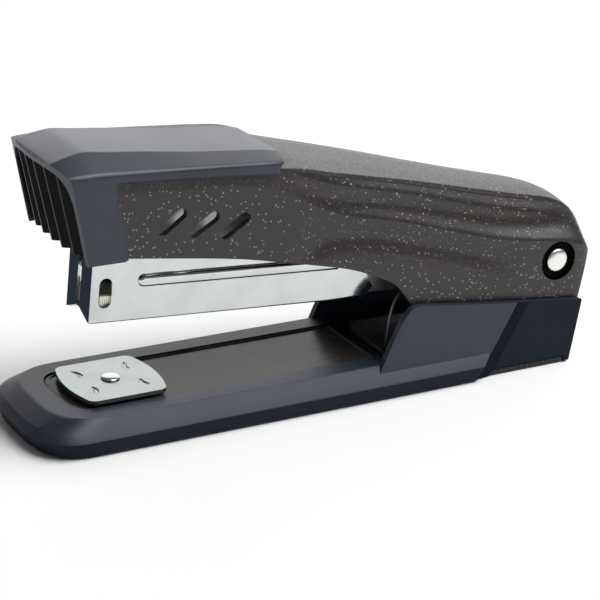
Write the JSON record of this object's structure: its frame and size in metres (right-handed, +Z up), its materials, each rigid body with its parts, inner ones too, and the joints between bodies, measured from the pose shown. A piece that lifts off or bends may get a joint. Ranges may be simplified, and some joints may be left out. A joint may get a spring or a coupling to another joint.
{
  "type": "desk stapler",
  "caption": "Full-size desk stapler: weighted base with anvil, hinged staple magazine and sprung pressing arm.",
  "frame": {"origin": "middle of the footprint, on the table", "axes": "+Z up from the table, -Y towards the nose, +Y towards the hinge, X across"},
  "size_m": [0.0436, 0.1656, 0.0758],
  "materials": {
    "slate_plastic": "fine grained moulded plastic, slate blue",
    "black_plastic": "moulded black plastic",
    "gloss_taupe": "polished dark taupe plastic",
    "flake_paint": "dark brown-black paint with fine metallic flakes, clear coated",
    "chrome_steel": "bright nickel-chrome plated steel",
    "zinc_steel": "zinc plated sheet steel",
    "nickel": "satin nickel",
    "spring_steel": "drawn spring wire",
    "sole_rubber": "black rubber, finely ribbed"
  },
  "bodies": {
    "base": {"base_shell": "slate_plastic", "base_frame": "zinc_steel", "tray_mat": "gloss_taupe", "sole_pad": "sole_rubber", "anvil_spring": "spring_steel", "base_screw_front": "zinc_steel", "base_screw_rear": "zinc_steel", "pivot_pin": "nickel", "pivot_spacer_right": "black_plastic", "pivot_spacer_left": "black_plastic", "return_spring": "spring_steel"},
    "anvil": {"anvil_plate": "chrome_steel", "anvil_rivet": "nickel"},
    "magazine": {"magazine_channel": "chrome_steel", "staple_rail": "zinc_steel", "staple_strip": "nickel", "pusher_rod": "zinc_steel", "pusher_spring": "spring_steel", "magazine_bracket": "zinc_steel", "magazine_rivet": "nickel"},
    "pusher": {"pusher_block": "black_plastic"},
    "arm": {"arm_cover": "flake_paint", "arm_frame": "zinc_steel", "nose_cap": "slate_plastic", "nose_grille": "black_plastic", "driver_blade": "spring_steel", "driver_holder": "zinc_steel", "driver_rivet": "nickel", "arm_spring": "spring_steel"}
  },
  "joints": [
    {"name": "magazine_hinge", "type": "hinge", "parent": "base", "child": "magazine", "pos_m": [0, 0.071, 0.0302], "axis": [1, 0, 0], "range_deg": [-20, 7.6], "stiffness_Nm_per_rad": 2, "springref_deg": -5.16, "deforming": ["return_spring"]},
    {"name": "arm_hinge", "type": "hinge", "parent": "magazine", "child": "arm", "pos_m": [0, 0.071, 0.0302], "axis": [1, 0, 0], "range_deg": [-75, 5], "stiffness_Nm_per_rad": 1.5, "springref_deg": -3.44, "deforming": ["arm_spring"]},
    {"name": "anvil_turn", "type": "hinge", "parent": "base", "child": "anvil", "pos_m": [0, -0.05525, 0.0097], "axis": [0, 0, 1], "range_deg": [0, 180]},
    {"name": "pusher_slide", "type": "slide", "parent": "magazine", "child": "pusher", "axis": [0, 0.9978, -0.0663], "range_m": [0, 0.026], "stiffness_N_per_m": 60, "springref_m": -0.03, "deforming": ["pusher_spring"]}
  ]
}
